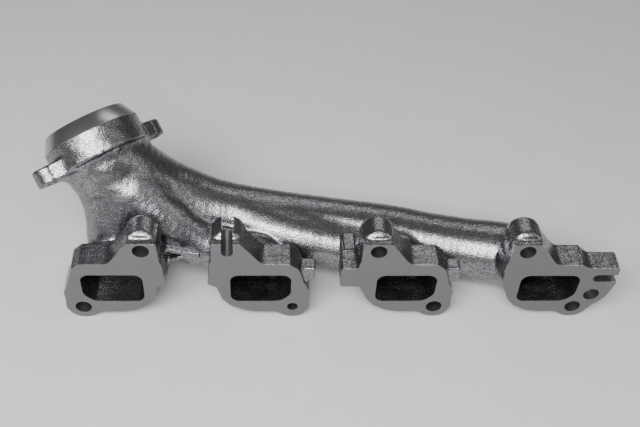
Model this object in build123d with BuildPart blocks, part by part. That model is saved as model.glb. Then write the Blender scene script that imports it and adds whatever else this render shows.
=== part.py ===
from build123d import *
import os
from math import cos, radians, sin

# Exhaust manifold for one bank of a four-port cylinder head: a single iron casting, modelled as the
# regions a patternmaker would name. All sizes are in millimetres.
#
# Frame: X runs along the row of ports, the machined port faces lie in the plane Y = 0 and look along
# -Y, and Z is up. The origin is midway between the two outermost lower bolt holes. Heights named
# "rise" are measured from the centre line of the ports, which is PORT_RISE above the origin.

os.makedirs("parts", exist_ok=True)

# ---------------------------------------------------------------- driving dimensions
PORT_COUNT = 4
PORT_PITCH = 113.3        # cylinder spacing of the engine
PORT_RISE = 22.0          # port centre line above the lower bolt holes
PORT_WIDTH = 47.0
PORT_HEIGHT = 30.4
PORT_CORNER = 7.0
PORT_CLIP = 8.0           # diagonal corner that keeps metal beside the lower bolt

PAD_THICKNESS = 22.5
PAD_HALF_WIDTH = 37.5
PAD_TOP = 26.5            # rise of the long top edge of a pad
PAD_BOTTOM = -27.6        # rise of the long bottom edge of a pad
PAD_CORNER = 17.0         # large corner away from the lower bolt
PAD_SHOULDER = (11.0, 6.0)   # where the top edge turns down, in from the side of the pad
PAD_WAIST = -6.0          # rise below which the side of the pad runs straight down to the ear

BOLT_OFFSET = 25.0        # both bolts stand this far to either side of the port centre
UPPER_BOLT_RISE = 41.8
BOLT_HOLE_R = 6.3
LOCATING_HOLE_R = 4.25    # tight hole that locates the casting, on pad 2
EAR_R = 11.8
BOSS_R = 13.0
BOSS_LENGTH = 27.0
TOWER_TOP = 49.3          # rise of the flat top of a tower at the port face
TOWER_HALF_WIDTH = 10.0
TOWER_FOOT = 25.0         # width of the sloping flank at its foot
TOWER_CHAMFER_DEPTH = 10.0
SLOT_WIDTH = 8.8          # open slot in tower 2
SLOT_FLOOR = 36.5         # rise of the lowest point of that slot

BRACKET_THICKNESS = 18.5
BRACKET_ROOT = 30.0       # distances from the centre of port 4
BRACKET_REACH = 53.0
BRACKET_HOLE = (36.7, -7.1)
BRACKET_SLOT_RISE = 12.1
BRACKET_SLOT_WIDTH = 7.8
BRACKET_SLOT_START = 33.0
BRACKET_EDGE = [(1.5, 23.5), (0, 5), (4, -9), (9, -17)]    # in from the reach, and rise

TAB_REACH = 52.0          # side tab on pad 3
TAB_BOTTOM = 2.4
TAB_TOP = 22.7
TAB_BLOCK_WIDTH = 10.0    # block that ties the tab to the log
TAB_BLOCK_HEIGHT = 12.0
TAB_BLOCK_DEPTH = 24.0
STUB_LENGTH = 10.0        # sawn tie bars on pads 2 and 3
STUB_HEIGHT = 15.0
STUB_DEPTH = 13.0
STUB_RISE = 10.0          # rise of the middle of a stub
STUB_SETBACK = 4.0        # from the port face to the stub
RIB_THICKNESS = 6.0
RIB_ROOT_TOP = 25.0       # rises where the rib leaves pad 1
RIB_ROOT_BOTTOM = 7.0
RIB_TIP_RISE = 17.0
RIB_REACH = 30.0

WALL = 4.8                # casting wall round every gas passage
PORT_ROOF_WALL = 5.0      # over and under a port, where a runner leaves its pad
CORE_OVERRUN = 3.0        # how far the cores of the log and the runners pass their ends

SEAT_SETBACK = 18.75      # centre of the foot of the cone: outboard of port 1,
SEAT_DEPTH = 67.5         # behind the backs of the pads,
SEAT_RISE = 76.6          # and above the centre line of the ports
SEAT_AXIS = Vector(-0.463, 0.586, 0.665).normalized()
SEAT_EAR_DIRECTION = Vector(0.759, 0.650, -0.044)
SEAT_HEIGHT = 12.0
OUTLET_BORE_R = 27.0
SEAT_FOOT_WALL = 11.8     # iron round the bore at the foot of the cone
SEAT_TIP_WALL = 5.0
OUTLET_WALL = 5.5
BORE_RELIEF = 2.0         # how far the cast passage reaches up into the flange
COLLAR_HEIGHT = 8.0
OUTLET_FLANGE_THICKNESS = 13.5
OUTLET_HOLE_R = 4.75
OUTLET_HOLE_GAP = 1.45    # between the collar and a stud hole
OUTLET_EAR_R = 10.5

# Middle lines of the gas passages. A station is the port it is measured from, and then its distance
# along the row, its depth behind the pads, its rise, and the outside radius of the casting there.
LOG = [(4, -63, 25, -3, 24.5), (3, 18.5, 30.5, -1, 24), (3, -6.5, 35.5, 1, 24), (2, 56.5, 43.5, 2, 24),
       (2, 6.5, 48, 5, 25), (2, -37.5, 50.5, 11, 27), (1, 45, 52.5, 23, 28.5), (1, 20, 53.5, 38, 30.5)]
RUNNER_1 = [(1, -1, 13.5, 3, 21), (1, -1, 23.5, 14, 23), (1, 0, 33.5, 31, 25), (1, -3, 43.5, 48, 27)]
RUNNER_2 = [(2, -8, 14.5, -1, 20), (2, -25, 21, -1, 20), (2, -51, 24.5, 5, 21), (1, 36.3, 30.5, 24, 23),
            (1, 12, 40, 44, 25)]
RUNNER_3 = [(3, -7, 16, -1, 20), (3, -25, 22.5, -2, 20), (3, -52, 26, -1, 20), (2, 26.3, 31.5, 4, 20.5),
            (2, -8.7, 39.5, 9, 20.5)]
# Runner 4 turns into the start of the log at its elbow, where its section has swung this far round.
ELBOW = (4, -27, 18.5, -3, 25)
ELBOW_TURN = 52.0         # degrees from +Y towards -X

# ---------------------------------------------------------------- values worked out from them
port_x = [(k - (PORT_COUNT - 1) / 2) * PORT_PITCH for k in range(PORT_COUNT)]
# The lower bolts of the two end pads both stand outboard, so pad 1 is a mirror image of the others.
side = [-1, 1, 1, 1]
# The log ends at the underside of the outlet flange, square to the outlet.
flange_depth = COLLAR_HEIGHT + OUTLET_FLANGE_THICKNESS
seat_foot = Vector(port_x[0] - SEAT_SETBACK, PAD_THICKNESS + SEAT_DEPTH, PORT_RISE + SEAT_RISE)
log_end = seat_foot - SEAT_AXIS * flange_depth
seat_foot_r = OUTLET_BORE_R + SEAT_FOOT_WALL
stud_circle_r = seat_foot_r + OUTLET_HOLE_GAP + OUTLET_HOLE_R
runner_half_width = PORT_WIDTH / 2 + WALL
runner_half_height = PORT_HEIGHT / 2 + PORT_ROOF_WALL


def behind(port, dx, depth, rise, radius=0):
    """Centre of a station: along the row from its port, behind the backs of the pads, above the port."""
    return Vector(port_x[port - 1] + dx, PAD_THICKNESS + depth, PORT_RISE + rise)


def face_plane(x, y=0.0):
    """Plane parallel to the port faces whose sketch axes are X and rise, centred on one port."""
    return Plane(origin=(x, y, PORT_RISE), x_dir=(1, 0, 0), z_dir=(0, -1, 0))


def section_plane(point, direction):
    """Plane square to a passage, turned so that neighbouring sections line up."""
    level = Vector(0, 0, 1).cross(direction)
    return Plane(origin=point, x_dir=level, z_dir=direction)


def log_stations():
    """Centre, direction and outside radius of each section of the log, outlet end last."""
    points = [behind(*station) for station in LOG] + [log_end]
    radii = [station[-1] for station in LOG] + [OUTLET_BORE_R + OUTLET_WALL]
    directions = [points[1] - points[0]]
    for before, after in zip(points, points[2:]):
        directions.append(after - before)
    directions.append(SEAT_AXIS)
    return list(zip(points, directions, radii))


def runner_stations(k, route):
    """Centre, direction and outside radius of each section of runner k behind its pad."""
    points = [behind(k + 1, 0, 0, 0)] + [behind(*station) for station in route]
    directions = [after - before for before, after in zip(points, points[2:])]
    directions.append(points[-1] - points[-2])
    return list(zip(points[1:], directions, [station[-1] for station in route]))


def log_solid(thinner):
    """The whole log, with its radius reduced by the given amount. The core runs past both ends."""
    sections = log_stations()
    if thinner > 0:
        point, direction, radius = sections[0]
        sections[0] = (point - direction.normalized() * CORE_OVERRUN, direction, radius)
        point, direction, radius = sections[-1]
        sections[-1] = (point + direction.normalized() * CORE_OVERRUN, direction, radius)
    with BuildPart() as tube:
        for point, direction, radius in sections:
            with BuildSketch(section_plane(point, direction)):
                Circle(radius - thinner)
        loft()
    return tube.part


def runner_solid(k, route, thinner):
    """One runner: an oval at its pad that becomes round and follows its route. Its core overruns too."""
    overrun = CORE_OVERRUN if thinner > 0 else 0
    sections = runner_stations(k, route)
    point, direction, radius = sections[-1]
    sections[-1] = (point + direction.normalized() * overrun, direction, radius)
    with BuildPart() as tube:
        with BuildSketch(section_plane(behind(k + 1, 0, -overrun, 0), Vector(0, 1, 0))):
            Ellipse(runner_half_width - thinner, runner_half_height - thinner)
        for point, direction, radius in sections:
            with BuildSketch(section_plane(point, direction)):
                Circle(radius - thinner)
        loft()
    return tube.part


def elbow_solid(thinner):
    """Runner 4: the oval at the last pad swings round through the elbow into the start of the log."""
    turned = Vector(-sin(radians(ELBOW_TURN)), cos(radians(ELBOW_TURN)), 0)
    point, direction, radius = log_stations()[0]
    with BuildPart() as tube:
        with BuildSketch(section_plane(behind(PORT_COUNT, 0, 0, 0), Vector(0, 1, 0))):
            Ellipse(runner_half_width - thinner, runner_half_height - thinner)
        with BuildSketch(section_plane(behind(*ELBOW), turned)):
            Circle(ELBOW[-1] - thinner)
        with BuildSketch(section_plane(point, direction)):
            Circle(radius - thinner)
        loft()
    return tube.part


def port_core(k):
    """The port opening through pad k, with its diagonal corner beside the lower bolt."""
    with BuildPart() as core:
        with BuildSketch(face_plane(port_x[k])):
            RectangleRounded(PORT_WIDTH, PORT_HEIGHT, PORT_CORNER)
            with Locations((side[k] * PORT_WIDTH / 2, -PORT_HEIGHT / 2)):
                Rectangle(PORT_CLIP * 2 ** 0.5, PORT_CLIP * 2 ** 0.5, rotation=45, mode=Mode.SUBTRACT)
        extrude(amount=-PAD_THICKNESS)
    return core.part


def bolt_core(k, offset, rise, radius, depth):
    """Round hole along Y, placed from the centre of port k."""
    with BuildPart() as core:
        with BuildSketch(face_plane(port_x[k] + offset)):
            with Locations((0, rise)):
                Circle(radius)
        extrude(amount=-depth)
    return core.part


# ---------------------------------------------------------------- pads
def pad_solid(k):
    """Pad k without its openings: a plate with one large corner and a round ear."""
    s = side[k]
    right = BRACKET_ROOT if k == PORT_COUNT - 1 else PAD_HALF_WIDTH
    in_x, in_z = PAD_SHOULDER
    large_corner = (-s * PAD_HALF_WIDTH, PAD_BOTTOM)
    with BuildPart() as pad:
        with BuildSketch(face_plane(port_x[k])) as outline:
            with BuildLine():
                Polyline((-s * PAD_HALF_WIDTH, PAD_TOP), (s * (right - in_x), PAD_TOP),
                         (s * (right - in_z), PAD_TOP - in_z), (s * right, PAD_WAIST),
                         (s * right, -PORT_RISE), (s * (BOLT_OFFSET - EAR_R), PAD_BOTTOM),
                         large_corner, close=True)
            make_face()
            fillet(outline.vertices().sort_by_distance((*large_corner, 0))[0], PAD_CORNER)
            with Locations((s * BOLT_OFFSET, -PORT_RISE)):
                Circle(EAR_R)
        extrude(amount=-PAD_THICKNESS)
    return pad.part


log_outside = log_solid(0)
log_inside = log_solid(WALL)
routes = {0: RUNNER_1, 1: RUNNER_2, 2: RUNNER_3}
runner_outside = {k: runner_solid(k, route, 0) for k, route in routes.items()}
runner_inside = {k: runner_solid(k, route, WALL) for k, route in routes.items()}
runner_outside[3] = elbow_solid(0)
runner_inside[3] = elbow_solid(WALL)

pads = {}
for k in range(PORT_COUNT):
    hole_r = LOCATING_HOLE_R if k == 1 else BOLT_HOLE_R
    with BuildPart() as pad:
        add(pad_solid(k))
        add(port_core(k), mode=Mode.SUBTRACT)
        add(bolt_core(k, side[k] * BOLT_OFFSET, -PORT_RISE, hole_r, PAD_THICKNESS), mode=Mode.SUBTRACT)
    pad.part.label = f"port_flange_{k + 1}"
    pads[k] = pad.part
    export_step(pad.part, f"parts/port_flange_{k + 1}.step")

# ---------------------------------------------------------------- bolt towers
for k in range(PORT_COUNT):
    bolt_x = -side[k] * BOLT_OFFSET
    with BuildPart() as tower:
        with BuildSketch(face_plane(port_x[k])):
            with BuildLine():
                Polyline((-side[k] * PAD_HALF_WIDTH, PAD_TOP), (bolt_x + side[k] * TOWER_FOOT, PAD_TOP),
                         (bolt_x + side[k] * TOWER_HALF_WIDTH, TOWER_TOP),
                         (bolt_x - side[k] * TOWER_HALF_WIDTH, TOWER_TOP), close=True)
            make_face()
        extrude(amount=-PAD_THICKNESS)
        with BuildSketch(face_plane(port_x[k])):
            with Locations((bolt_x, UPPER_BOLT_RISE)):
                Circle(BOSS_R)
        extrude(amount=-BOSS_LENGTH)
        # The front of the boss is planed back from the top of the face.
        boss_top = UPPER_BOLT_RISE + BOSS_R
        with BuildSketch(Plane(origin=(port_x[k], 0, PORT_RISE), x_dir=(0, 1, 0), z_dir=(1, 0, 0))):
            with BuildLine():
                Polyline((0, TOWER_TOP), (TOWER_CHAMFER_DEPTH, boss_top), (0, boss_top), close=True)
            make_face()
        extrude(amount=PORT_PITCH / 2, both=True, mode=Mode.SUBTRACT)
        if k == 1:
            with BuildSketch(face_plane(port_x[k])):
                with Locations((bolt_x, SLOT_FLOOR + SLOT_WIDTH / 2)):
                    Circle(SLOT_WIDTH / 2)
                with Locations((bolt_x, (SLOT_FLOOR + SLOT_WIDTH / 2 + boss_top) / 2)):
                    Rectangle(SLOT_WIDTH, boss_top - SLOT_FLOOR - SLOT_WIDTH / 2)
            extrude(amount=-BOSS_LENGTH, mode=Mode.SUBTRACT)
        else:
            add(bolt_core(k, bolt_x, UPPER_BOLT_RISE, BOLT_HOLE_R, BOSS_LENGTH), mode=Mode.SUBTRACT)
    tower.part.label = f"bolt_tower_{k + 1}"
    export_step(tower.part, f"parts/bolt_tower_{k + 1}.step")

# ---------------------------------------------------------------- collector log and neck
log_names = ["log_front", "log_middle", "log_rear", "outlet_neck"]
cuts = [2, 5, 7]          # stations of the log where one length ends and the next begins
stations = log_stations()
for number, name in enumerate(log_names):
    with BuildPart() as length:
        add(log_outside)
        if number > 0:
            point, direction, radius = stations[cuts[number - 1]]
            split(bisect_by=Plane(origin=point, z_dir=direction), keep=Keep.TOP)
        if number < len(cuts):
            point, direction, radius = stations[cuts[number]]
            split(bisect_by=Plane(origin=point, z_dir=direction), keep=Keep.BOTTOM)
        add(log_inside, mode=Mode.SUBTRACT)
        for k in range(PORT_COUNT):
            add(runner_inside[k], mode=Mode.SUBTRACT)
    length.part.label = name
    export_step(length.part, f"parts/{name}.step")

# ---------------------------------------------------------------- runners
pad_back = Plane(origin=(0, PAD_THICKNESS, 0), x_dir=(-1, 0, 0), z_dir=(0, 1, 0))
for k in range(PORT_COUNT):
    with BuildPart() as runner:
        add(runner_outside[k])
        add(runner_inside[k], mode=Mode.SUBTRACT)
        if k < PORT_COUNT - 1:
            add(log_outside, mode=Mode.SUBTRACT)
        # Where two runners run into each other the earlier one keeps its wall, opened by the later one.
        if 0 < k < PORT_COUNT - 1:
            add(runner_outside[k - 1], mode=Mode.SUBTRACT)
        if k < 2:
            add(runner_inside[k + 1], mode=Mode.SUBTRACT)
        split(bisect_by=pad_back, keep=Keep.TOP)
    runner.part.label = f"runner_{k + 1}"
    export_step(runner.part, f"parts/runner_{k + 1}.step")

# ---------------------------------------------------------------- outlet
seat_plane = Plane(origin=seat_foot, x_dir=SEAT_EAR_DIRECTION, z_dir=SEAT_AXIS)

seat_tip_r = OUTLET_BORE_R + SEAT_TIP_WALL
with BuildPart(seat_plane) as outlet_seat:
    Cone(seat_foot_r, seat_tip_r, SEAT_HEIGHT, align=(Align.CENTER, Align.CENTER, Align.MIN))
    Hole(OUTLET_BORE_R)
outlet_seat.part.label = "outlet_seat"
export_step(outlet_seat.part, "parts/outlet_seat.step")

with BuildPart() as outlet_flange:
    with BuildSketch(seat_plane):
        Circle(seat_foot_r)
    extrude(amount=-flange_depth)
    with BuildSketch(seat_plane.offset(-COLLAR_HEIGHT)):
        Circle(seat_foot_r)
        with Locations((stud_circle_r, 0), (-stud_circle_r, 0)):
            Circle(OUTLET_EAR_R)
        make_hull()
    extrude(amount=-OUTLET_FLANGE_THICKNESS)
    with BuildSketch(seat_plane):
        Circle(OUTLET_BORE_R)
        with Locations((stud_circle_r, 0), (-stud_circle_r, 0)):
            Circle(OUTLET_HOLE_R)
    extrude(amount=-flange_depth, mode=Mode.SUBTRACT)
    with BuildSketch(seat_plane.offset(-flange_depth)):
        Circle(OUTLET_BORE_R + OUTLET_WALL - WALL)
    extrude(amount=BORE_RELIEF, mode=Mode.SUBTRACT)
outlet_flange.part.label = "outlet_flange"
export_step(outlet_flange.part, "parts/outlet_flange.step")

# ---------------------------------------------------------------- bracket, tab, stubs and rib
with BuildPart() as end_bracket:
    with BuildSketch(face_plane(port_x[3])):
        with BuildLine():
            edge = [(BRACKET_REACH - dx, rise) for dx, rise in BRACKET_EDGE]
            Polyline((BRACKET_ROOT, edge[0][1]), *edge, (BRACKET_ROOT, PAD_BOTTOM), close=True)
        make_face()
        with Locations((BOLT_OFFSET, -PORT_RISE)):
            Circle(EAR_R, mode=Mode.SUBTRACT)
        with Locations(BRACKET_HOLE):
            Circle(BOLT_HOLE_R, mode=Mode.SUBTRACT)
        with Locations((BRACKET_SLOT_START + BRACKET_REACH / 2, BRACKET_SLOT_RISE)):
            SlotOverall(BRACKET_REACH, BRACKET_SLOT_WIDTH, mode=Mode.SUBTRACT)
    extrude(amount=-BRACKET_THICKNESS)
end_bracket.part.label = "end_bracket"
export_step(end_bracket.part, "parts/end_bracket.step")

with BuildPart() as side_tab_3:
    with BuildSketch(face_plane(port_x[2])):
        with Locations((-(TAB_REACH + PAD_HALF_WIDTH) / 2, (TAB_BOTTOM + TAB_TOP) / 2)):
            Rectangle(TAB_REACH - PAD_HALF_WIDTH, TAB_TOP - TAB_BOTTOM)
    extrude(amount=-PAD_THICKNESS)
    with BuildSketch(face_plane(port_x[2], PAD_THICKNESS)):
        with Locations((-(TAB_REACH + PAD_HALF_WIDTH) / 2, TAB_TOP - TAB_BLOCK_HEIGHT / 2)):
            Rectangle(TAB_BLOCK_WIDTH, TAB_BLOCK_HEIGHT)
    extrude(amount=-TAB_BLOCK_DEPTH)
    for k in (1, 2):
        add(runner_outside[k], mode=Mode.SUBTRACT)
    add(log_outside, mode=Mode.SUBTRACT)
side_tab_3.part.label = "side_tab_3"
export_step(side_tab_3.part, "parts/side_tab_3.step")

for k in (1, 2):
    with BuildPart() as stub:
        with BuildSketch(face_plane(port_x[k], STUB_SETBACK)):
            with Locations((PAD_HALF_WIDTH - STUB_LENGTH / 2, STUB_RISE)):
                Rectangle(STUB_LENGTH * 2, STUB_HEIGHT)
        extrude(amount=-STUB_DEPTH)
        add(pads[k], mode=Mode.SUBTRACT)
        add(port_core(k), mode=Mode.SUBTRACT)
    stub.part.label = f"tie_bar_stub_{k + 1}"
    export_step(stub.part, f"parts/tie_bar_stub_{k + 1}.step")

with BuildPart() as web_rib:
    with BuildSketch(face_plane(port_x[0], PAD_THICKNESS - RIB_THICKNESS)):
        with BuildLine():
            Polyline((PAD_HALF_WIDTH, RIB_ROOT_TOP), (PAD_HALF_WIDTH, RIB_ROOT_BOTTOM),
                     (PAD_HALF_WIDTH + RIB_REACH, RIB_TIP_RISE), close=True)
        make_face()
    extrude(amount=-2 * RIB_THICKNESS)
    add(runner_outside[1], mode=Mode.SUBTRACT)
web_rib.part.label = "web_rib"
export_step(web_rib.part, "parts/web_rib.step")
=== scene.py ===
# %% [markdown]
# # A cast iron exhaust manifold
# The real part is one casting: molten iron is poured into a sand mould, the sand is knocked off, the skin
# is shot-blasted, and then only the faces that must seal are machined. So almost every surface here is
# soft and blended, and a few are dead flat with sharp edges. This lesson builds the soft part as one
# formula, turns the formula into a mesh, and then machines that mesh with cutters, in the same order as
# the foundry does it.

# %% The frame: the CAD model that everything has to fit
import math
import time

import bpy
import numpy as np
from mathutils import Matrix, Vector

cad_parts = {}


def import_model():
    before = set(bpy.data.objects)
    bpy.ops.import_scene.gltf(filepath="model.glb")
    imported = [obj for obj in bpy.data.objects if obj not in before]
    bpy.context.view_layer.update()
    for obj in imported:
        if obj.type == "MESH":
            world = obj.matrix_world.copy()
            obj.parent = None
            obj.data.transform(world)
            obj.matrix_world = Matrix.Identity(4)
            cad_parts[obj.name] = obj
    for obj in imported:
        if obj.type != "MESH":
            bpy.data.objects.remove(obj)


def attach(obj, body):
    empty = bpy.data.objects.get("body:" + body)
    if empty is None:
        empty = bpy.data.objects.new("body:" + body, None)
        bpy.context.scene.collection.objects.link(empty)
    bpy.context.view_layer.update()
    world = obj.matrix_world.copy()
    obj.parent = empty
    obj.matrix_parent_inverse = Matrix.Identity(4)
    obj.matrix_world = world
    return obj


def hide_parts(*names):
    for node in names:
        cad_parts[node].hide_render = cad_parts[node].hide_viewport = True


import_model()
bpy.context.view_layer.update()
MM = 0.001

# %% [markdown]
# ## The design in numbers
# These are the casting's own sizes, in millimetres. X runs along the ports, the port faces stand in the
# plane Y = 0, and heights are given as a rise above the centre line of the ports.

# %% Sizes of the casting
PITCH = 113.3
PORT_RISE = 22.0          # port centre line above the lower bolt holes, where Z is zero
PORT_X = [(k - 1.5) * PITCH for k in range(4)]
SIDE = [-1, 1, 1, 1]      # pad 1 is a mirror image of the others
PORT_HALF = (23.5, 15.2)
PORT_CLIP = 8.0
PAD_DEPTH = 22.5
BOLT_OFFSET = 25.0
UPPER_RISE = 41.8
BOLT_R = 6.3
LOCATING_R = 4.25         # the tight hole of pad 2
EAR_R = 11.8              # iron round a lower bolt
BOSS_R = 13.0             # iron round an upper bolt
BOSS_DEPTH = 27.0
TOWER_TOP = 49.3
TOWER_CHAMFER = (5.5, 10.0)   # how far a tower's top drops, over what depth
FOUNDRY_STOCK = 6.0       # iron left in front of the pads, to be machined away
PAD_ROUNDING = 2.5
WALL = 4.8
SEAT_AXIS = np.array([-0.463, 0.586, 0.665])
SEAT_AXIS /= np.linalg.norm(SEAT_AXIS)
SEAT_FOOT = np.array([-188.7, 90.0, PORT_RISE + 76.6])
EAR_AXIS = np.array([0.759, 0.650, -0.044])
EAR_AXIS -= SEAT_AXIS * (EAR_AXIS @ SEAT_AXIS)
EAR_AXIS /= np.linalg.norm(EAR_AXIS)
FLANGE_DEPTH = 21.5       # from the seat's foot to the underside of the flange
FLANGE_TOP = 8.0          # from the seat's foot to the upper face of the flange
FLANGE_R = 36.5
EAR_REACH = 45.0          # from the outlet's axis to each stud hole
EAR_TIP_R = 10.5
STUD_R = 4.75
COLLAR_R = 38.6
BORE_R = 27.0

# Middle lines of the passages: x, y, rise and outside radius. Runners count x from their own port.
LOG = [(150, 39, -3, 24), (128, 43.5, -3.5, 25), (107, 47.5, -3, 24.5), (75, 53, -1, 24),
       (50, 58, 1, 24), (0, 66, 2, 24), (-50, 70.5, 5, 25), (-94, 73, 11, 27), (-125, 75, 23, 28.5),
       (-150, 76, 38, 30)]
RUNNERS = [
    [(0, 14, 0, 20), (-1, 30, 1, 21), (-1, 38, 5, 22), (-1, 46, 14, 23), (0, 56, 31, 25),
     (-3, 66, 48, 27)],
    [(0, 14, 0, 20), (-2, 29, 0, 20), (-8, 37, -1, 20), (-25, 43.5, -1, 20), (-51, 47, 5, 21),
     (-77, 53, 24, 23), (-101, 62, 44, 25)],
    [(0, 14, 0, 20), (-2, 29, 0, 20), (-7, 38, -1, 20), (-25, 44.5, -2, 20), (-52, 48.5, -1, 20),
     (-87, 54, 4, 20.5), (-122, 62, 9, 20.5)],
    [(0, 14, 0, 20), (-3, 27, 0, 20.5), (-16, 37, -2, 23), (-33, 42, -3, 24.5), (-55, 46, -5, 23),
     (-85, 50, -6, 20)],
]


def world(x, y, rise):
    """The point at a rise above the ports, as an array in the frame's own millimetres."""
    return np.array([x, y, PORT_RISE + rise], float)


def curve(stations, x0=0.0, steps=6):
    """Catmull-Rom curve through the stations: between two stations the point is the cubic whose slope at
    each end is half the step from the station before to the station after. Radius is the fourth value."""
    s = np.array(stations, float)
    s[:, 0] += x0
    s[:, 2] += PORT_RISE
    s = np.vstack([2 * s[0] - s[1], s, 2 * s[-1] - s[-2]])
    t = np.linspace(0, 1, steps, endpoint=False)[None, :, None]
    a, b, c, d = (s[i:len(s) - 3 + i, None, :] for i in range(4))
    body = 0.5 * (2 * b + (c - a) * t + (2 * a - 5 * b + 4 * c - d) * t ** 2
                  + (3 * b - a - 3 * c + d) * t ** 3)
    return np.vstack([body.reshape(-1, 4), s[-2]])


LOG_END_R = 32.5          # outside radius where the log meets the flange
log_end = SEAT_FOOT - SEAT_AXIS * FLANGE_DEPTH - [0, 0, PORT_RISE]
log_path = curve(LOG + [tuple(log_end) + (LOG_END_R,)])
runner_paths = [curve(route, PORT_X[k]) for k, route in enumerate(RUNNERS)]
log_steps = np.linalg.norm(np.diff(log_path[:, :3], axis=0), axis=1)
print("log path length, mm:", round(float(log_steps.sum()), 1))

# %% [markdown]
# ## The formula
# A distance field is a function that is negative inside a body, zero on its skin and positive outside.
# Two bodies are joined by taking the smaller of their fields, and a *smooth* minimum leaves a fillet in
# the corner, which is just what a pattern shop does with wax. One fillet radius per joint is all the
# sculpting that this casting needs.


# %% Distance fields of simple bodies, each on whole arrays of points
def smooth_min(a, b, k):
    """The smaller of a and b, less k/4 * (1 - |a - b| / k)^2 where they are within k of each other."""
    h = np.clip(1 - np.abs(a - b) / k, 0, 1)
    return np.minimum(a, b) - h * h * k * 0.25


REACH = 14.0              # a body is only worked out this close to itself; further off it counts as REACH


def near(p, low, high):
    """Which points stand within REACH of a box."""
    return np.flatnonzero(np.all((p > np.array(low) - REACH) & (p < np.array(high) + REACH), axis=1))


def tube_field(p, path, group=4):
    """Distance to a chain of round segments whose radius runs evenly from station to station."""
    best = np.full(len(p), REACH)
    for first in range(0, len(path) - 1, group):
        part = path[first:first + group + 1]
        reach = part[:, 3].max()
        chosen = near(p, part[:, :3].min(0) - reach, part[:, :3].max(0) + reach)
        q = p[chosen]
        for start, end in zip(part[:-1], part[1:]):
            along = end[:3] - start[:3]
            rel = q - start[:3]
            t = np.clip(rel @ along / (along @ along), 0, 1)
            gap = np.linalg.norm(rel - t[:, None] * along, axis=1) - (start[3] + t * (end[3] - start[3]))
            best[chosen] = np.minimum(best[chosen], gap)
    return best


def local_field(function, p, low, high, *args):
    """A body's field on the points near its box, and REACH everywhere else."""
    field = np.full(len(p), REACH)
    chosen = near(p, low, high)
    if len(chosen):
        field[chosen] = np.minimum(function(p[chosen], *args), REACH)
    return field


def polygon_field(x, z, corners):
    """Signed distance to a closed polygon: the nearest edge, negative where a ray crosses it oddly."""
    c = np.array(corners, float)
    best = np.full(x.shape, 1e9)
    inside = np.zeros(x.shape, bool)
    for (ax, az), (bx, bz) in zip(c, np.roll(c, -1, axis=0)):
        ex, ez = bx - ax, bz - az
        t = np.clip(((x - ax) * ex + (z - az) * ez) / (ex * ex + ez * ez), 0, 1)
        best = np.minimum(best, np.hypot(x - ax - t * ex, z - az - t * ez))
        crosses = (az > z) != (bz > z)
        inside ^= crosses & (x < ex * (z - az) / (ez if ez else 1e-9) + ax)
    return np.where(inside, -best, best)


def slab_field(flat, y, y0, y1, rounding, draft=0.0):
    """A flat outline given depth from y0 to y1: the corner where the two distances meet is rounded, and
    the draft lets the outline grow towards the back, as a pattern has to leave the sand."""
    side = flat - draft * (y - y0) + rounding
    deep = np.abs(y - (y0 + y1) / 2) - (y1 - y0) / 2 + rounding
    outside = np.hypot(np.maximum(side, 0), np.maximum(deep, 0))
    return np.minimum(np.maximum(side, deep), 0) + outside - rounding


def box_field(p, low, high, rounding):
    """Distance to a box with rounded edges."""
    middle, half = (np.array(low) + high) / 2, (np.array(high) - low) / 2 - rounding
    q = np.abs(p - middle) - half
    return np.linalg.norm(np.maximum(q, 0), axis=1) + np.minimum(q.max(axis=1), 0) - rounding


# %% [markdown]
# ## Pads and towers
# Each pad is a drafted plate with a bolt ear below one end and a sloping tower above the other. The
# outlines differ a little from port to port, because the outer pads carry a bracket or meet the outlet.

# %% Outlines of the pads, in x to the bolt-ear side and rise
PAD_EDGE = [(-38, 8), (-37.4, 27), (22, 27), (28.5, 21.5), (33, 6), (37.6, -5), (36.6, -22), (25, -27.7),
            (-4, -27.7), (-13, -26), (-23.5, -20.5), (-30, -12.5), (-34.5, -2)]
WIDE_EDGE = [(-40.6, 5)] + PAD_EDGE[1:-1] + [(-34, 1.5)]
BRACKET_DEPTH = 18.5
TOWER_EDGE = [(-37.8, 20), (-36.3, 49.3), (-15.8, 49.3), (-8, 39.3), (1, 27), (6, 20)]
BRACKET_EDGE = [(20, 23.5), (51.8, 23.5), (53, 6), (51, -3), (48.5, -10), (44, -17), (36, -24), (24, -28)]


def pad_field(p, k):
    """Pad k with its ear, tower and bolt boss. The tower's top is planed off on a slope, and the front
    is left long: it is machined back to Y = 0."""
    x = (p[:, 0] - PORT_X[k]) * SIDE[k]
    y, z = p[:, 1], p[:, 2] - PORT_RISE
    edge = PAD_EDGE if k in (2, 3) else WIDE_EDGE
    flat = polygon_field(x, z, edge)
    flat = smooth_min(flat, np.hypot(x - BOLT_OFFSET, z + PORT_RISE) - EAR_R, 5)
    plate = slab_field(flat, y, -FOUNDRY_STOCK, PAD_DEPTH, PAD_ROUNDING, 0.035)
    tower_flat = polygon_field(x, z, TOWER_EDGE)
    boss_flat = np.hypot(x + BOLT_OFFSET, z - UPPER_RISE) - BOSS_R
    tower = slab_field(tower_flat, y, -FOUNDRY_STOCK, PAD_DEPTH, PAD_ROUNDING, 0.03)
    boss = slab_field(boss_flat, y, 6, BOSS_DEPTH, 3.5)
    tower = smooth_min(tower, boss, 3)
    drop, over = TOWER_CHAMFER
    planed = ((z - TOWER_TOP) * over - y * drop) / math.hypot(over, drop)
    tower = -smooth_min(-tower, -planed, 1.0)
    body = smooth_min(plate, tower, 4)
    if k == 3:
        bracket = polygon_field(x, z, BRACKET_EDGE)
        body = smooth_min(body, slab_field(bracket, y, -FOUNDRY_STOCK, BRACKET_DEPTH, 2.0, 0.02), 3)
    return body


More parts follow.
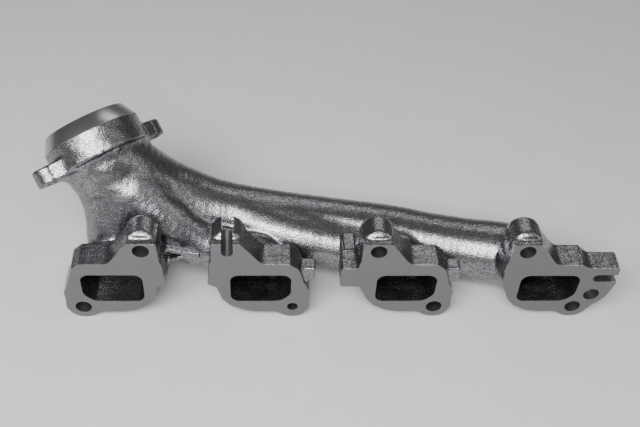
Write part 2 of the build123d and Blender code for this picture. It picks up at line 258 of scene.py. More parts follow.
def extras_field(p):
    """Side tab and its block on pad 3, the sawn tie-bar stubs and the thin rib beside pad 1."""
    tab = box_field(p, world(PORT_X[2] - 52, -FOUNDRY_STOCK, 2.4), world(PORT_X[2] - 30, 21, 22.7), 1.8)
    block = box_field(p, world(PORT_X[2] - 49.5, 10, 9), world(PORT_X[2] - 39.5, 40, 22.0), 1.5)
    field = smooth_min(tab, block, 2)
    for k in (1, 2):
        stub = box_field(p, world(PORT_X[k] + 20, 5, 2.5), world(PORT_X[k] + 42, 17, 17.5), 1.5)
        field = np.minimum(field, stub)
    x, y, z = p[:, 0] - PORT_X[0], p[:, 1], p[:, 2] - PORT_RISE
    rib = polygon_field(x, z, [(30, 30), (30, 4), (38, 8), (58, 16), (66, 14), (66, 19), (58, 21),
                               (38, 26)])
    hollow = polygon_field(x, z, [(39, 22), (39, 12), (53, 17.5)])
    rib = np.maximum(rib, -hollow)
    return np.minimum(field, slab_field(rib, y, 18, 24, 1.2))


def outlet_field(p):
    """The two-eared outlet flange with a round collar above it, square to the outlet's own axis. The
    outline is a round middle whose radius shrinks evenly towards each ear."""
    rel = p - SEAT_FOOT
    height = rel @ SEAT_AXIS
    u = rel @ EAR_AXIS
    v = rel @ np.cross(SEAT_AXIS, EAR_AXIS)
    round_part = np.hypot(u, v)
    t = np.clip(np.abs(u) / EAR_REACH, 0, 1)
    ears = np.hypot(np.abs(u) - EAR_REACH * t, v) - (FLANGE_R + (EAR_TIP_R - FLANGE_R) * t)
    flange = slab_field(ears, height, -FLANGE_DEPTH, -FLANGE_TOP, 2.0)
    collar = slab_field(round_part - COLLAR_R, height, -FLANGE_DEPTH + 2, 5, 1.5)
    return smooth_min(flange, collar, 2.5)


# %% [markdown]
# ## The whole casting
# The runners lie against the log with a tight crease between them, and the pads and the outlet flange
# join them with wider fillets. The gas passage is the same set of tubes, one wall thinner.


# %% The field of the casting and of its passages
PORT_FILLET = 8.0         # where a runner leaves the neck behind its port
LOG_FILLET = 4.0          # the crease between a runner and the log
PAD_FILLET = 6.0          # round the foot of a pad, and of the outlet flange
SMALL_FILLET = 3.0        # round the tab, the stubs and the rib
CORE_FILLET = 6.0         # inside, where the passages meet
NECK_WALL = 4.5           # iron round the neck behind a port
NECK_FRONT = 12.0         # depth at which the neck begins, inside its pad


def port_field(p, k, grow):
    """The oblong neck behind a port: a rounded box, larger than the port by a wall, whose corner beside
    the lower bolt is planed off at 45 degrees."""
    x0 = PORT_X[k]
    half_x, half_z = PORT_HALF[0] + grow, PORT_HALF[1] + grow
    low, high = world(x0 - half_x, -12, -half_z), world(x0 + half_x, 31, half_z)
    corner = (SIDE[k] * (p[:, 0] - x0) - (p[:, 2] - PORT_RISE) + PORT_CLIP - sum(PORT_HALF)) / 2 ** 0.5
    return -smooth_min(-box_field(p, low, high, 7.0 + grow), grow - corner, 3)


def casting_field(p):
    """Outside of the casting less its passages: negative in the iron."""
    field = tube_field(p, log_path)
    for k in (3, 2, 1, 0):
        runner = tube_field(p, runner_paths[k])
        neck = port_field(p, k, NECK_WALL)
        neck = np.maximum(neck, NECK_FRONT - p[:, 1])
        runner = smooth_min(runner, neck, PORT_FILLET)
        field = smooth_min(field, runner, LOG_FILLET)
    for k in range(4):
        x0 = PORT_X[k]
        pad = local_field(pad_field, p, world(x0 - 56, -6, -36), world(x0 + 56, 28, 57), k)
        field = smooth_min(field, pad, PAD_FILLET)
    outlet = local_field(outlet_field, p, SEAT_FOOT - 62, SEAT_FOOT + 62)
    field = smooth_min(field, outlet, PAD_FILLET)
    extras = local_field(extras_field, p, world(-140, -6, 0), world(106, 42, 32))
    field = smooth_min(field, extras, SMALL_FILLET)
    return np.maximum(field, -passage_field(p))


def passage_field(p):
    """The hollow that the gas runs through, from the port faces to the outlet."""
    thin = log_path - [0, 0, 0, WALL]
    past_end = np.append(SEAT_FOOT + SEAT_AXIS * 20, BORE_R)
    thin = np.vstack([thin[:-1], np.append(thin[-1, :3], BORE_R), past_end])
    field = tube_field(p, thin)
    for k in range(4):
        runner = tube_field(p, runner_paths[k] - [0, 0, 0, WALL])
        field = smooth_min(field, smooth_min(runner, port_field(p, k, 0.0), CORE_FILLET), CORE_FILLET)
    return field


# %% [markdown]
# ## From the formula to a mesh
# *Surface nets* is the plainest way to skin a distance field. Every little cube of a grid whose corners
# are not all inside or all outside gets one vertex, and every grid edge that the skin crosses gets one
# square face between the four cubes round it. Sliding the vertices down the field's slope afterwards
# puts them exactly on the skin, so the grid never shows.

# %% Skinning a field
STEP = 1.45        # grid spacing in mm


def sampled(field, low, shape, step, coarse=4):
    """Values of the field on the grid. It is worked out in full only near the skin: elsewhere every
    point of a block of the grid takes the value at the middle of its block."""
    blocks = [np.arange(n // coarse + 1) for n in shape]
    middle = np.stack(np.meshgrid(*blocks, indexing="ij"), -1).reshape(-1, 3) * coarse + (coarse - 1) / 2
    rough = field(low + middle * step).reshape([len(b) for b in blocks])
    for axis in range(3):
        rough = np.repeat(rough, coarse, axis=axis)
    values = rough[:shape[0], :shape[1], :shape[2]].copy()
    close = np.flatnonzero(np.abs(values).ravel() < coarse * step * 1.1)
    flat = values.reshape(-1)
    for part in np.array_split(close, max(1, len(close) // 200000)):
        index = np.stack(np.unravel_index(part, shape), -1)
        flat[part] = field(low + index * step)
    return values


def unambiguous(values):
    """Where the signs on a square of the grid stand in a checkerboard, or only two opposite corners of a
    cube differ from the rest, two sheets of skin would share an edge or a point. Iron is added there: the
    outside value nearest to zero turns negative, so that every edge of the mesh has exactly two faces."""
    n = np.array(values.shape)
    for _ in range(8):
        changed = 0
        for one, two in ((0, 1), (1, 2), (2, 0)):
            def shifted(a, b):
                cut = [slice(0, n[i] - (i in (one, two))) for i in range(3)]
                cut[one] = slice(a, n[one] - 1 + a)
                cut[two] = slice(b, n[two] - 1 + b)
                return tuple(cut)
            corners = [values[shifted(a, b)] for a, b in ((0, 0), (0, 1), (1, 1), (1, 0))]
            sign = [c < 0 for c in corners]
            bad = (sign[0] == sign[2]) & (sign[1] == sign[3]) & (sign[0] != sign[1])
            changed += int(bad.sum())
            for c, inside in zip(corners, sign):
                c[bad & ~inside] = -1e-3
        cube = [values[i:n[0] - 1 + i, j:n[1] - 1 + j, k:n[2] - 1 + k]
                for i in (0, 1) for j in (0, 1) for k in (0, 1)]
        count = sum((c < 0).astype(np.int8) for c in cube)
        for a in range(4):
            both_in = (count == 2) & (cube[a] < 0) & (cube[7 - a] < 0)
            both_out = (count == 6) & (cube[a] >= 0) & (cube[7 - a] >= 0)
            changed += int(both_in.sum() + both_out.sum())
            cube[a][both_in] = 1e-3
            cube[a][both_out] = -1e-3
        if not changed:
            break
    return values


def surface_net(field, low, high, step):
    """Vertices and squares of the skin where the field is zero, with the faces looking outwards."""
    low = np.array(low, float)
    shape = tuple(((np.array(high) - low) / step).astype(int) + 2)
    values = unambiguous(sampled(field, low, shape, step))
    corner = [values[i:shape[0] - 1 + i, j:shape[1] - 1 + j, k:shape[2] - 1 + k]
              for i in (0, 1) for j in (0, 1) for k in (0, 1)]
    below = sum((c < 0).astype(np.int8) for c in corner)
    cells = np.argwhere((below > 0) & (below < 8))
    number = np.full(below.shape, -1, np.int64)
    number[tuple(cells.T)] = np.arange(len(cells))
    v = np.stack([c[tuple(cells.T)] for c in corner], 1)
    offset = np.array([(i, j, k) for i in (0, 1) for j in (0, 1) for k in (0, 1)], float)
    total, count = np.zeros((len(cells), 3)), np.zeros(len(cells))
    for a in range(8):
        for b in range(a + 1, 8):
            if np.abs(offset[a] - offset[b]).sum() != 1:
                continue
            crossed = (v[:, a] < 0) != (v[:, b] < 0)
            t = np.where(crossed, v[:, a] / np.where(crossed, v[:, a] - v[:, b], 1), 0)
            total += crossed[:, None] * (offset[a] + t[:, None] * (offset[b] - offset[a]))
            count += crossed
    points = low + (cells + total / count[:, None]) * step
    faces = []
    for axis in range(3):
        one, two = [(1, 2), (2, 0), (0, 1)][axis]
        inside = values < 0
        ahead = np.take(inside, range(1, shape[axis]), axis)
        here = np.take(inside, range(shape[axis] - 1), axis)
        edge = np.argwhere(ahead != here)
        edge = edge[(edge[:, one] > 0) & (edge[:, two] > 0)]
        edge = edge[(edge[:, one] < shape[one] - 1) & (edge[:, two] < shape[two] - 1)]
        corners = []
        for d1, d2 in ((1, 1), (0, 1), (0, 0), (1, 0)):
            cell = edge.copy()
            cell[:, one] -= d1
            cell[:, two] -= d2
            corners.append(number[tuple(cell.T)])
        quad = np.stack(corners, 1)
        flip = ahead[tuple(edge.T)]
        quad[flip] = quad[flip][:, ::-1]
        faces.append(quad)
    return points, np.vstack(faces)


def settle(points, field, rounds=3, most=0.8):
    """Slide points down the field's slope onto its skin: p - f * g / |g|^2, a few times over."""
    nudge = 0.05
    for _ in range(rounds):
        f = field(points)
        g = np.stack([field(points + np.eye(3)[i] * nudge) - f for i in range(3)], 1) / nudge
        move = -f[:, None] * g / np.maximum((g * g).sum(1), 0.25)[:, None]
        length = np.linalg.norm(move, axis=1)
        points = points + move * np.minimum(1, most / np.maximum(length, 1e-9))[:, None]
    return points


def mesh_object(name, points, faces):
    """An object from points in millimetres and squares or triangles, filled with whole arrays."""
    faces = np.asarray(faces)
    mesh = bpy.data.meshes.new(name)
    mesh.vertices.add(len(points))
    mesh.vertices.foreach_set("co", (np.asarray(points, float) * MM).ravel())
    mesh.loops.add(faces.size)
    mesh.loops.foreach_set("vertex_index", faces.ravel().astype(np.int32))
    mesh.polygons.add(len(faces))
    mesh.polygons.foreach_set("loop_start", np.arange(0, faces.size, faces.shape[1], dtype=np.int32))
    mesh.update(calc_edges=True)
    mesh.validate()
    obj = bpy.data.objects.new(name, mesh)
    bpy.context.scene.collection.objects.link(obj)
    return obj


def skin_field(p):
    """The casting with the faint swell and sink of a sand mould, a tenth of a millimetre or so."""
    swell = np.sin(p @ [0.31, 0.17, 0.23]) * np.sin(p @ [-0.19, 0.29, 0.13] + 1.0)
    ripple = np.sin(p @ [0.71, -0.53, 0.37] + 2.0) * np.sin(p @ [0.43, 0.61, -0.67])
    return casting_field(p) + 0.12 * swell + 0.06 * ripple


clock = time.time()
GRID_LOW, GRID_HIGH = (-242, -9, -16), (228, 150, 156)    # a little more than the casting's own box
points, squares = surface_net(casting_field, GRID_LOW, GRID_HIGH, STEP)
points = settle(points, skin_field)
casting = mesh_object("casting", points, squares)
print("skin:", len(points), "vertices", len(squares), "squares in", round(time.time() - clock, 1), "s")


# %% [markdown]
# ## The machine shop
# The cutters are blocks and drills, and each one is subtracted from the casting with the Manifold solver,
# which needs closed meshes and leaves closed meshes. Only these cuts have sharp edges.

# %% Blocks, drills and the cut itself
def block(low, high):
    """A closed box between two corners in millimetres."""
    low, high = np.array(low, float), np.array(high, float)
    corner = np.array([(i, j, k) for i in (0, 1) for j in (0, 1) for k in (0, 1)])
    sides = [(0, 1, 3, 2), (4, 6, 7, 5), (0, 4, 5, 1), (2, 3, 7, 6), (0, 2, 6, 4), (1, 5, 7, 3)]
    return mesh_object("block", low + corner * (high - low), sides)


def basis(axis):
    """Two unit vectors square to an axis and to each other."""
    axis = np.array(axis, float) / np.linalg.norm(axis)
    helper = np.eye(3)[np.argmin(np.abs(axis))]
    one = np.cross(axis, helper)
    one /= np.linalg.norm(one)
    return one, np.cross(axis, one)


def turned(profile, origin, axis, segments=96, name="turned"):
    """A closed solid of revolution: the closed profile of (radius, height) points is turned about the
    axis, so the point at angle a is origin + height * axis + radius * (cos a * one + sin a * two)."""
    profile = np.array(profile, float)
    one, two = basis(axis)
    a = np.linspace(0, 2 * np.pi, segments, endpoint=False)
    ring = np.cos(a)[:, None] * one + np.sin(a)[:, None] * two
    points = np.array(origin) + profile[None, :, 1, None] * axis + profile[None, :, 0, None] * ring[:, None]
    n, m = segments, len(profile)
    i, j = np.meshgrid(np.arange(n), np.arange(m), indexing="ij")
    i2, j2 = (i + 1) % n, (j + 1) % m
    quads = np.stack([i * m + j, i2 * m + j, i2 * m + j2, i * m + j2], -1).reshape(-1, 4)
    return mesh_object(name, points.reshape(-1, 3), quads)


def drill(start, end, radius, segments=64):
    """A closed round bar from start to end, with its end faces fanned from a small middle ring."""
    start, end = np.array(start, float), np.array(end, float)
    length = np.linalg.norm(end - start)
    tiny = 1e-3
    profile = [(tiny, 0), (radius, 0), (radius, length), (tiny, length)]
    return turned(profile, start, (end - start) / length, segments, "drill")


def cut(body, cutter, operation="DIFFERENCE", keep=False):
    """The body's mesh after a boolean with the cutter. The cutter is used up unless it is kept."""
    modifier = body.modifiers.new("cut", "BOOLEAN")
    modifier.object = cutter
    modifier.operation = operation
    modifier.solver = "MANIFOLD"
    depsgraph = bpy.context.evaluated_depsgraph_get()
    result = bpy.data.meshes.new_from_object(body.evaluated_get(depsgraph))
    body.modifiers.clear()
    old, body.data = body.data, result
    bpy.data.meshes.remove(old)
    if not keep:
        bpy.data.meshes.remove(cutter.data)
    return len(result.polygons)


# %% Facing the pads and drilling the holes
clock = time.time()
FAR = 400                 # well past the casting on every side
BEFORE, BEHIND = -5, 34   # where the drills start and end
cut(casting, block((-FAR, -60, -FAR), (FAR, 0, FAR)))
HOLES = []
for k in range(4):
    lower_r = LOCATING_R if k == 1 else BOLT_R
    HOLES.append((PORT_X[k] + SIDE[k] * BOLT_OFFSET, -PORT_RISE, lower_r))
    if k != 1:
        HOLES.append((PORT_X[k] - SIDE[k] * BOLT_OFFSET, UPPER_RISE, BOLT_R))
HOLES.append((PORT_X[3] + 36.7, -7.1, BOLT_R))            # the extra hole of the bracket
for x, rise, radius in HOLES:
    cut(casting, drill(world(x, BEFORE, rise), world(x, BEHIND, rise), radius))
slot_x = PORT_X[1] - BOLT_OFFSET
SLOT_R, SLOT_RISE = 4.4, 40.9
cut(casting, drill(world(slot_x, BEFORE, SLOT_RISE), world(slot_x, BEHIND, SLOT_RISE), SLOT_R))
cut(casting, block(world(slot_x - SLOT_R, BEFORE, SLOT_RISE), world(slot_x + SLOT_R, BEHIND, 70)))
END_SLOT_X, END_SLOT_RISE, END_SLOT_R = PORT_X[3] + 37.0, 12.1, 3.9
cut(casting, drill(world(END_SLOT_X, BEFORE, END_SLOT_RISE), world(END_SLOT_X, 30, END_SLOT_RISE),
                   END_SLOT_R))
cut(casting, block(world(END_SLOT_X, BEFORE, END_SLOT_RISE - END_SLOT_R),
                   world(END_SLOT_X + 60, 30, END_SLOT_RISE + END_SLOT_R)))
ABOVE_SEAT, FACING_R = 30, 60
above = SEAT_FOOT + SEAT_AXIS * ABOVE_SEAT
cut(casting, drill(SEAT_FOOT, above, FACING_R, 96))
cut(casting, drill(SEAT_FOOT - SEAT_AXIS * FLANGE_DEPTH, above, BORE_R, 96))
for way in (-1, 1):
    middle = SEAT_FOOT + EAR_AXIS * EAR_REACH * way
    cut(casting, drill(middle - SEAT_AXIS * 30, middle + SEAT_AXIS * 5, STUD_R))
print("machined:", len(casting.data.polygons), "faces in", round(time.time() - clock, 1), "s")

# %% [markdown]
# ## Naming the regions
# The casting is one piece of iron, but the design names its regions, so the mesh is parted along flat
# planes inside the iron. Each part stays a closed solid, and the joints are too fine to see because the
# normals on both sides are read from the same formula.

# %% Parting the casting
pieces = {}


def part_off(name, region):
    """Take what lies inside a closed region out of the casting and keep it under its own name."""
    piece = bpy.data.objects.new(name, casting.data.copy())
    bpy.context.scene.collection.objects.link(piece)
    cut(piece, region, "INTERSECT", keep=True)
    cut(casting, region)
    pieces[name] = piece


def beyond(point, normal):
    """The region beyond a slanting plane, as a wide round bar that starts on it."""
    normal = np.array(normal) / np.linalg.norm(normal)
    return drill(point, point + normal * FAR, FAR / 2, 24)


clock = time.time()
X1, X2, X3, X4 = PORT_X
BACK = PAD_DEPTH
TOWER_FOOT_RISE = 26.5
part_off("end_bracket", block(world(X4 + 32, -1, -13), world(X4 + 70, BACK, 30)))
part_off("side_tab_3", block(world(X3 - 60, -1, 0.5), world(X3 - 38.6, 27, 25)))
for name, x in (("tie_bar_stub_2", X2), ("tie_bar_stub_3", X3)):
    part_off(name, block(world(x + 36.6, 3, 1), world(x + 44, 19, 19)))
part_off("web_rib", block(world(X1 + 39, 16, 2), world(X1 + 68, 26, 30)))
for k, x in enumerate(PORT_X):
    part_off(f"port_flange_{k + 1}", block(world(x - 56, -1, -60), world(x + 56, BACK, TOWER_FOOT_RISE)))
    part_off(f"bolt_tower_{k + 1}", block(world(x - 56, -1, TOWER_FOOT_RISE), world(x + 56, 28, 62)))
RUNNER_DEPTH = 44
part_off("runner_4", block(world(107, BACK - 30, -FAR), world(FAR, FAR, FAR)))
part_off("runner_3", block(world(0, BACK - 30, -FAR), world(85, RUNNER_DEPTH, FAR)))
part_off("runner_2", block(world(-113, BACK - 30, -FAR), world(-28, RUNNER_DEPTH, FAR)))
part_off("runner_1", block(world(-FAR, BACK - 30, -FAR), world(-113, RUNNER_DEPTH, 60)))
part_off("log_front", block(world(50, 0, -FAR), world(FAR, FAR, FAR)))
part_off("log_middle", block(world(-94, 0, -FAR), world(50, FAR, FAR)))
part_off("outlet_flange", beyond(SEAT_FOOT - SEAT_AXIS * FLANGE_DEPTH, SEAT_AXIS))
part_off("outlet_neck", beyond(world(-150, 76, 38), (-0.80, 0.04, 0.60)))
casting.name = "log_rear"
pieces["log_rear"] = casting
SEAT_PROFILE = [(27.0, 0), (38.4, 0), (38.8, 0.4), (32.5, 11.6), (31.9, 12.0), (27.7, 12.0), (27.0, 11.4)]
pieces["outlet_seat"] = turned(SEAT_PROFILE, SEAT_FOOT, SEAT_AXIS, 160, "outlet_seat")
print("parts:", {name: len(piece.data.polygons) for name, piece in pieces.items()},
      "in", round(time.time() - clock, 1), "s")

# %% [markdown]
# ## Finishes
# Grey cast iron comes out of the sand dull, and shot blasting peens it into a fine sparkling grain. A
# ground face is flat and even, with the faint straight marks of the wheel, and a turned seat shows rings.


# %% Small helpers for materials
def linear(code):
    """An sRGB hex colour as linear values: c / 12.92 below 0.04045, ((c + 0.055) / 1.055) ^ 2.4 above."""
    c = np.array([int(code[i:i + 2], 16) / 255 for i in (1, 3, 5)])
    return (*np.where(c < 0.04045, c / 12.92, ((c + 0.055) / 1.055) ** 2.4), 1.0)


def add(tree, kind, links=None, **settings):
    """Add a node, set its properties or the sockets of those names, and link sockets to its inputs."""
    node = tree.nodes.new("ShaderNode" + kind)
    for key, value in settings.items():
        if hasattr(node, key):
            setattr(node, key, value)
        else:
            node.inputs[key.replace("_", " ")].default_value = value
    for socket, source in (links or {}).items():
        tree.links.new(source, node.inputs[socket])
    return node


def new_material(name):
    """An empty material with an output, and the object's own coordinates."""
    material = bpy.data.materials.new(name)
    material.use_nodes = True
    tree = material.node_tree
    tree.nodes.clear()
    output = add(tree, "OutputMaterial")
    return material, tree, output, add(tree, "TexCoord").outputs["Object"]


def ramp(tree, source, low, high, start=0.0, end=1.0, kind="LINEAR"):
    """Map a value from the range start..end to low..high, along a straight line or a smooth step."""
    node = add(tree, "MapRange", {"Value": source}, interpolation_type=kind)
    for socket, value in (("From Min", start), ("From Max", end), ("To Min", low), ("To Max", high)):
        node.inputs[socket].default_value = value
    return node.outputs["Result"]


# %% Shot-blasted grey iron
DENT, GRIT, GRAIN, PATCH = 0.0010, 0.0014, 0.0009, 0.030   # pattern sizes in metres
PAINTED_HIGHLIGHT_DEPTHS = (0.0002, 0.0009)                                     # where the painted edge highlight fades, behind Y = 0


def shot_blasted_iron():
    """Cast grey iron after shot blasting: real dents are 0.3 to 0.6 mm, drawn at 1 mm so that they show.
    Each grain has its own tone and gloss, so a lit slope sparkles, and a bright highlight is painted on
    the skin where it meets a ground face, in place of the light that a small chamfer there would catch."""
    material, tree, output, place = new_material("shot_blasted_grey_iron")
    dents = add(tree, "TexVoronoi", {"Vector": place}, feature="SMOOTH_F1", Scale=1 / DENT, Smoothness=0.2)
    grit = add(tree, "TexNoise", {"Vector": place}, Scale=1 / GRIT, Detail=3.0, Roughness=0.7)
    patches = add(tree, "TexNoise", {"Vector": place}, Scale=1 / PATCH, Detail=3.0, Roughness=0.6)
    grain = add(tree, "TexVoronoi", {"Vector": place}, feature="F1", Scale=1 / GRAIN)
    sparkle = add(tree, "SeparateColor", {"Color": grain.outputs["Color"]}).outputs["Red"]
    tone = add(tree, "MixRGB", {"Fac": patches.outputs["Fac"]}, Color1=linear("#909194"),
               Color2=linear("#a6a7a9"))
    specks = add(tree, "MixRGB", {"Fac": sparkle, "Color1": tone.outputs["Color"]}, blend_type="MULTIPLY",
                 Color2=linear("#a8a8aa"))
    depth = add(tree, "SeparateXYZ", {"Vector": place}).outputs["Y"]
    # Painted highlight: a bright colour on the skin within a millimetre behind the ground faces, standing
    # in for light caught along their edges
    painted_edge_highlight = ramp(tree, depth, 1.0, 0.0, *PAINTED_HIGHLIGHT_DEPTHS, kind="SMOOTHSTEP")
    colour = add(tree, "MixRGB", {"Fac": painted_edge_highlight, "Color1": specks.outputs["Color"]}, Color2=linear("#d8d8d8"))
    rough = ramp(tree, sparkle, 0.20, 0.40)
    height = add(tree, "Math", {0: dents.outputs["Distance"], 1: grit.outputs["Fac"]}, operation="ADD")
    bump = add(tree, "Bump", {"Height": height.outputs[0]}, Strength=0.5, Distance=0.00026)
    shader = add(tree, "BsdfPrincipled", {"Base Color": colour.outputs["Color"], "Roughness": rough,
                                          "Normal": bump.outputs["Normal"]}, Metallic=1.0)
    tree.links.new(shader.outputs[0], output.inputs["Surface"])
    return material


# %% [markdown]
# Cut iron is the same metal without its skin. What tells a ground face from a drilled wall or a turned
# cone is how fine and which way the tool marks run, so one function makes all three and takes the
# spacing of the marks in millimetres.

# %% Ground, drilled and turned iron
def cut_iron(name, colour_a, colour_b, roughness, marks_mm, direction=(1.0, 1.0, 1.0), depth=0.00004):
    """Bare cut iron: a rough metal whose tone clouds slowly, with tool marks of a given spacing that a
    direction stretches across the cut."""
    material, tree, output, place = new_material(name)
    clouds = add(tree, "TexNoise", {"Vector": place}, Scale=1 / 0.018, Detail=4.0, Roughness=0.6)
    tone = add(tree, "MixRGB", {"Fac": clouds.outputs["Fac"]}, Color1=linear(colour_a),
               Color2=linear(colour_b))
    stretched = add(tree, "Mapping", {"Vector": place})
    stretched.inputs["Scale"].default_value = direction
    marks = add(tree, "TexNoise", {"Vector": stretched.outputs["Vector"]}, Scale=1000 / marks_mm,
                Detail=2.0)
    rough = ramp(tree, marks.outputs["Fac"], roughness - 0.06, roughness + 0.06)
    bump = add(tree, "Bump", {"Height": marks.outputs["Fac"]}, Strength=0.5, Distance=depth)
    shader = add(tree, "BsdfPrincipled", {"Base Color": tone.outputs["Color"], "Roughness": rough,
                                          "Normal": bump.outputs["Normal"]}, Metallic=1.0)
    tree.links.new(shader.outputs[0], output.inputs["Surface"])
    return material


CAST, GROUND, DRILLED, TURNED = range(4)
finishes = [shot_blasted_iron(),
            cut_iron("ground_grey_iron", "#77787a", "#828385", 0.42, 0.9, (0.12, 1.0, 1.0)),
            cut_iron("drilled_grey_iron", "#7c7d80", "#98999b", 0.40, 0.8, (0.2, 1.0, 0.2)),
            cut_iron("turned_grey_iron", "#b2b3b5", "#c4c5c6", 0.30, 0.7)]

# %% [markdown]
# ## Normals from the formula
# A mesh of flat squares is shaded smooth by giving every corner of every face its own normal. The slope
# of the distance field is the exact normal of the casting's skin, and a machined face takes the normal of
# the cut, so the edge between them stays sharp.


# %% Which surface a face belongs to, and its normals
def hole_axes():
    """Every machined round hole: a point on its axis, the axis and the radius."""
    ends = [(slot_x, SLOT_RISE, SLOT_R), (END_SLOT_X, END_SLOT_RISE, END_SLOT_R)]
    for x, rise, radius in HOLES + ends:
        yield world(x, 0, rise), np.array([0, 1.0, 0]), radius
    yield SEAT_FOOT, SEAT_AXIS, BORE_R
    for way in (-1, 1):
        yield SEAT_FOOT + EAR_AXIS * EAR_REACH * way, SEAT_AXIS, STUD_R


def slope(field, points, nudge=0.08):
    """Unit slope of the field by central differences."""
    g = np.stack([field(points + e) - field(points - e) for e in np.eye(3) * nudge], 1)
    return g / np.maximum(np.linalg.norm(g, axis=1), 1e-9)[:, None]


def face_data(mesh):
    """Centres in millimetres and normals of the faces, as arrays."""
    centre, normal = np.empty(len(mesh.polygons) * 3), np.empty(len(mesh.polygons) * 3)
    mesh.polygons.foreach_get("center", centre)
    mesh.polygons.foreach_get("normal", normal)
    return centre.reshape(-1, 3) / MM, normal.reshape(-1, 3)


DEEPEST_HOLE = 36


def surface_of(mesh):
    """The kind of surface of each face: ground where it lies in the plane of the pads, drilled where it
    stands at a hole's radius from the hole's axis, and cast elsewhere."""
    centre, normal = face_data(mesh)
    kind = np.full(len(centre), CAST)
    kind[(centre[:, 1] < 0.02) & (normal[:, 1] < -0.99)] = GROUND
    for origin, axis, radius in hole_axes():
        rel = centre - origin
        out = rel - (rel @ axis)[:, None] * axis
        gap = np.abs(np.linalg.norm(out, axis=1) - radius)
        square = np.abs((normal * axis).sum(1)) < 0.05
        depth = np.abs(rel @ axis) < DEEPEST_HOLE
        kind[(gap < 0.08 * radius ** 0.5) & square & depth & ((normal * out).sum(1) < 0)] = DRILLED
    return kind


def set_normals(piece):
    """Corner normals: the field's slope where it agrees with the face, the face's own normal elsewhere."""
    mesh = piece.data
    kind = surface_of(mesh)
    points = np.empty(len(mesh.vertices) * 3)
    mesh.vertices.foreach_get("co", points)
    smooth = slope(skin_field, points.reshape(-1, 3) / MM)
    corner_vertex = np.empty(len(mesh.loops), np.int32)
    mesh.loops.foreach_get("vertex_index", corner_vertex)
    corners = np.empty(len(mesh.polygons), np.int32)
    mesh.polygons.foreach_get("loop_total", corners)
    face = np.repeat(np.arange(len(corners)), corners)
    own = face_data(mesh)[1][face]
    normals = smooth[corner_vertex]
    agrees = (normals * own).sum(1) >= 0.6
    flat = (kind[face] != CAST) | ~agrees
    normals[flat] = own[flat]
    mesh.polygons.foreach_set("use_smooth", np.ones(len(corners), bool))
    mesh.materials.clear()
    for finish in finishes[:3]:
        mesh.materials.append(finish)
    mesh.polygons.foreach_set("material_index", kind.astype(np.int32))
    mesh.normals_split_custom_set(normals.tolist())


# %% Giving the parts their finishes and their places in the frame
clock = time.time()
for name, piece in pieces.items():
    if name == "outlet_seat":
        piece.data.materials.append(finishes[TURNED])
        piece.data.shade_smooth()
        piece.data.set_sharp_from_angle(angle=math.radians(30))
    else:
        set_normals(piece)
    piece.name = "iron_" + name
    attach(piece, "root")
    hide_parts(name)
print("pieces placed:", len(pieces), "faces:", sum(len(p.data.polygons) for p in pieces.values()),
      "in", round(time.time() - clock, 1), "s")

# %% [markdown]
# ## Floor, light and camera
# A large soft light stands high on the camera's side and to the left, because a rounded metal casting
# shows its shape by the bright bands that it reflects. The floor is pale and matt, and the room is dim,
# so undersides go dark.

# %% Floor
FLOOR_Z = -12.1
floor_material, floor_tree, floor_output, floor_place = new_material("pale_matt_floor")
mottle = add(floor_tree, "TexNoise", {"Vector": floor_place}, Scale=1 / 0.02, Detail=3.0)
floor_tone = add(floor_tree, "MixRGB", {"Fac": mottle.outputs["Fac"]}, Color1=linear("#bebebe"),
                 Color2=linear("#c5c5c5"))
floor_shader = add(floor_tree, "BsdfPrincipled", {"Base Color": floor_tone.outputs["Color"]},
                   Roughness=0.75)
floor_tree.links.new(floor_shader.outputs[0], floor_output.inputs["Surface"])
SPAN = 3000
ends = np.array([(-SPAN, -SPAN), (SPAN, -SPAN), (SPAN, SPAN), (-SPAN, SPAN)], float)
floor = mesh_object("floor", np.column_stack([ends, np.full(4, FLOOR_Z)]), [(0, 1, 2, 3)])
floor.data.materials.append(floor_material)


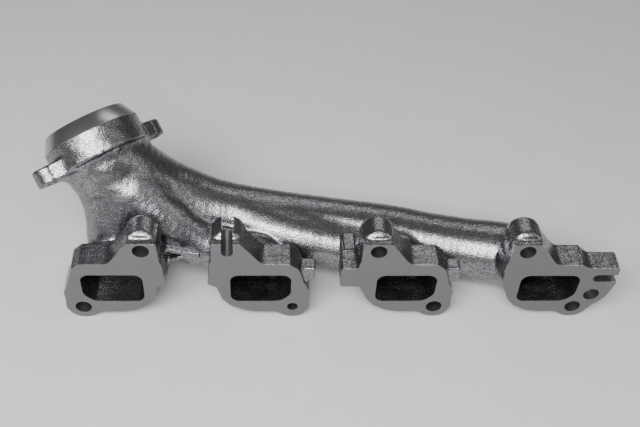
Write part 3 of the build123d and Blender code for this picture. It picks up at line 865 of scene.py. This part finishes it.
# %% Lights
def softbox(name, azimuth, elevation, distance, width, height, power, aim=(0, 40, 30)):
    """An area light on a sphere round the object, which faces the aim."""
    light = bpy.data.lights.new(name, "AREA")
    light.shape = "RECTANGLE"
    light.size, light.size_y, light.energy = width, height, power
    lamp = bpy.data.objects.new(name, light)
    bpy.context.scene.collection.objects.link(lamp)
    a, e = math.radians(azimuth), math.radians(elevation)
    back = Vector((math.sin(a) * math.cos(e), -math.cos(a) * math.cos(e), math.sin(e)))
    lamp.location = Vector(aim) * MM + back * distance
    lamp.rotation_euler = back.to_track_quat("Z", "Y").to_euler()
    return lamp


softbox("main_softbox", -22, 50, 1.3, 1.2, 0.65, 40)
softbox("side_fill", 75, 35, 1.6, 0.8, 0.8, 3)
softbox("rear_fill", 165, 45, 1.8, 1.2, 0.6, 4)
room = bpy.data.worlds.new("dim_room")
bpy.context.scene.world = room
room.use_nodes = True
ROOM_GREY = 0.12
room.node_tree.nodes["Background"].inputs["Color"].default_value = (ROOM_GREY, ROOM_GREY, ROOM_GREY, 1)
room.node_tree.nodes["Background"].inputs["Strength"].default_value = 1.0

# %% [markdown]
# The camera stands in front of the ports and above them, looks down and a little to the right, and is
# rolled by a few degrees, so that the row of ports runs level across the picture.

# %% Camera
CAMERA_AT = (-52.34, -438.34, 538.83)
CAMERA_DOWN, CAMERA_YAW, CAMERA_ROLL = (math.radians(a) for a in (44.652, 4.927, 3.774))
level = Vector((math.sin(CAMERA_YAW), math.cos(CAMERA_YAW), 0))
forward = level * math.cos(CAMERA_DOWN) - Vector((0, 0, math.sin(CAMERA_DOWN)))
right = Vector((math.cos(CAMERA_YAW), -math.sin(CAMERA_YAW), 0))
up = right.cross(forward)
rolled_right = right * math.cos(CAMERA_ROLL) + up * math.sin(CAMERA_ROLL)
rolled_up = up * math.cos(CAMERA_ROLL) - right * math.sin(CAMERA_ROLL)
camera_data = bpy.data.cameras.new("camera")
camera_data.lens, camera_data.sensor_width = 48.90, 36.0
camera = bpy.data.objects.new("camera", camera_data)
bpy.context.scene.collection.objects.link(camera)
turn = Matrix((rolled_right, rolled_up, -forward)).transposed().to_4x4()
camera.matrix_world = Matrix.Translation(Vector(CAMERA_AT) * MM) @ turn
bpy.context.scene.camera = camera
